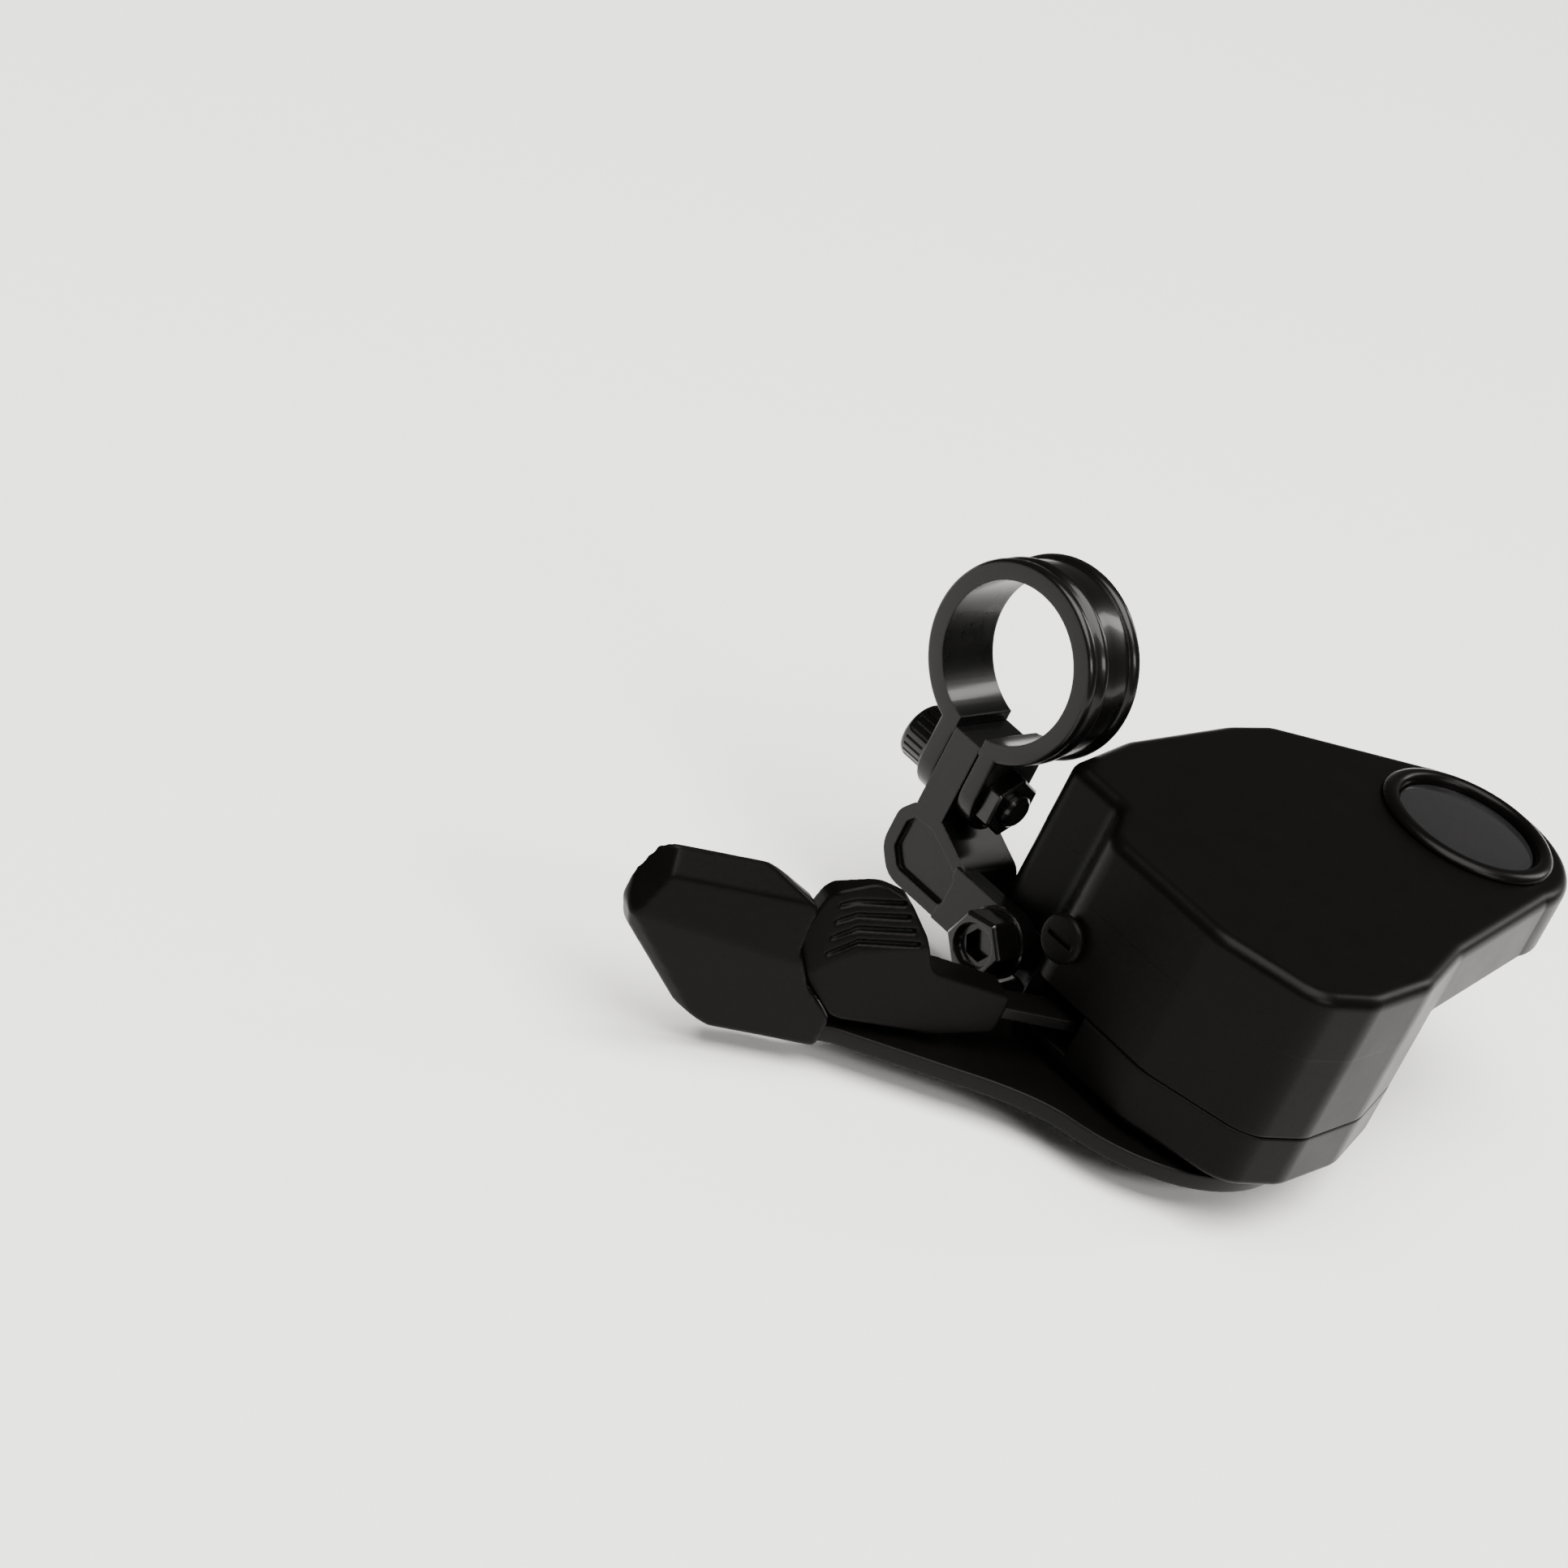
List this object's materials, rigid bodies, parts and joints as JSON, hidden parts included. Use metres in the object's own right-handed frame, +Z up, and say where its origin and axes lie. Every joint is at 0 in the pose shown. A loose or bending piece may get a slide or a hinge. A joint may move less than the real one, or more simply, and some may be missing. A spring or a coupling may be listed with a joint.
{
  "type": "thumb shifter",
  "caption": "Right-hand bicycle thumb shifter: bar clamp, pod with gear display, push lever, release lever, cable drum and barrel adjuster.",
  "frame": {"origin": "centre of the handlebar clamp bore", "axes": "+X outboard along the handlebar, +Y forward, +Z up and parallel to the lever axle"},
  "size_m": [0.1509, 0.0825, 0.0592],
  "materials": {
    "gloss_black_metal": "gloss black",
    "black_fastener_steel": "black oxide",
    "housing_plastic": "fine satin moulding",
    "bezel_plastic": "gloss",
    "lens_plastic": "clear moulded lens",
    "dial_print": "matt pale dial",
    "pointer_plastic": "orange pointer",
    "lever_plastic": "satin moulding",
    "lever_steel": "black coated steel",
    "plated_steel": "zinc plated",
    "hardened_steel": "ground",
    "black_screw_steel": "black oxide",
    "acetal": "natural acetal",
    "spring_steel": "drawn wire",
    "adjuster_plastic": "satin"
  },
  "bodies": {
    "root": {"clamp_band": "gloss_black_metal", "clamp_bolt": "black_fastener_steel", "clamp_nut": "black_fastener_steel", "bracket": "gloss_black_metal", "bracket_bolt": "black_fastener_steel", "upper_housing": "housing_plastic", "lower_housing": "housing_plastic", "housing_screws": "black_screw_steel", "base_plate": "plated_steel", "plate_screws": "plated_steel", "display_bezel": "bezel_plastic", "display_lens": "lens_plastic", "dial_plate": "dial_print", "main_axle": "plated_steel", "axle_washer": "plated_steel", "axle_nut": "plated_steel", "thrust_washer": "acetal", "hold_pawl_pin": "plated_steel", "hold_pawl_spring": "spring_steel", "drum_spring": "spring_steel", "main_lever_spring": "spring_steel", "release_spring": "spring_steel", "release_spacer": "acetal", "cable_port_plug": "housing_plastic", "adjuster_spring": "spring_steel"},
    "main_lever": {"main_lever": "lever_steel", "main_paddle": "lever_plastic", "pawl_carrier": "plated_steel", "feed_pawl_pin": "plated_steel", "feed_pawl_spring": "spring_steel"},
    "feed_pawl": {"feed_pawl": "hardened_steel"},
    "release_lever": {"release_lever": "lever_steel", "release_paddle": "lever_plastic"},
    "drum": {"cable_drum": "acetal", "ratchet_wheel": "hardened_steel"},
    "hold_pawl": {"hold_pawl": "hardened_steel"},
    "rack": {"display_rack": "acetal"},
    "pointer": {"gear_pointer": "pointer_plastic"},
    "adjuster": {"barrel_adjuster": "adjuster_plastic"}
  },
  "joints": [
    {"name": "main_lever_push", "type": "hinge", "parent": "root", "child": "main_lever", "pos_m": [-0.005, 0.042, -0.0397], "axis": [0, 0, 1], "range_deg": [0, 28], "stiffness_Nm_per_rad": 0.12, "springref_deg": -20.05},
    {"name": "release_lever_push", "type": "hinge", "parent": "root", "child": "release_lever", "pos_m": [-0.005, 0.042, -0.0318], "axis": [0, 0, -1], "range_deg": [0, 12], "stiffness_Nm_per_rad": 0.12, "springref_deg": -20.05},
    {"name": "drum_turn", "type": "hinge", "parent": "root", "child": "drum", "pos_m": [-0.005, 0.042, -0.02], "axis": [0, 0, 1], "range_deg": [0, 90]},
    {"name": "rack_slide", "type": "slide", "parent": "root", "child": "rack", "axis": [1, 0, 0], "range_m": [0, 0.00948]},
    {"name": "pointer_turn", "type": "hinge", "parent": "root", "child": "pointer", "pos_m": [-0.059, 0.039, -0.0124], "axis": [0, 0, 1], "range_deg": [0, 181]},
    {"name": "feed_pawl_tilt", "type": "hinge", "parent": "main_lever", "child": "feed_pawl", "pos_m": [-0.01081, 0.02602, -0.025], "axis": [0, 0, -1], "range_deg": [0, 12], "stiffness_Nm_per_rad": 0.002, "springref_deg": -11.46},
    {"name": "hold_pawl_tilt", "type": "hinge", "parent": "root", "child": "hold_pawl", "pos_m": [-0.00813, 0.05973, -0.025], "axis": [0, 0, 1], "range_deg": [0, 12.1]},
    {"name": "adjuster_turn", "type": "hinge", "parent": "root", "child": "adjuster", "pos_m": [-0.0613, 0.031, -0.022], "axis": [-1, 0, 0], "continuous": true}
  ],
  "couplings": [
    {"joint": "rack_slide", "follows": "drum_turn", "m_per_rad": 0.006},
    {"joint": "pointer_turn", "follows": "drum_turn", "ratio": 2},
    {"joint": "hold_pawl_tilt", "follows": "release_lever_push", "ratio": 1}
  ]
}
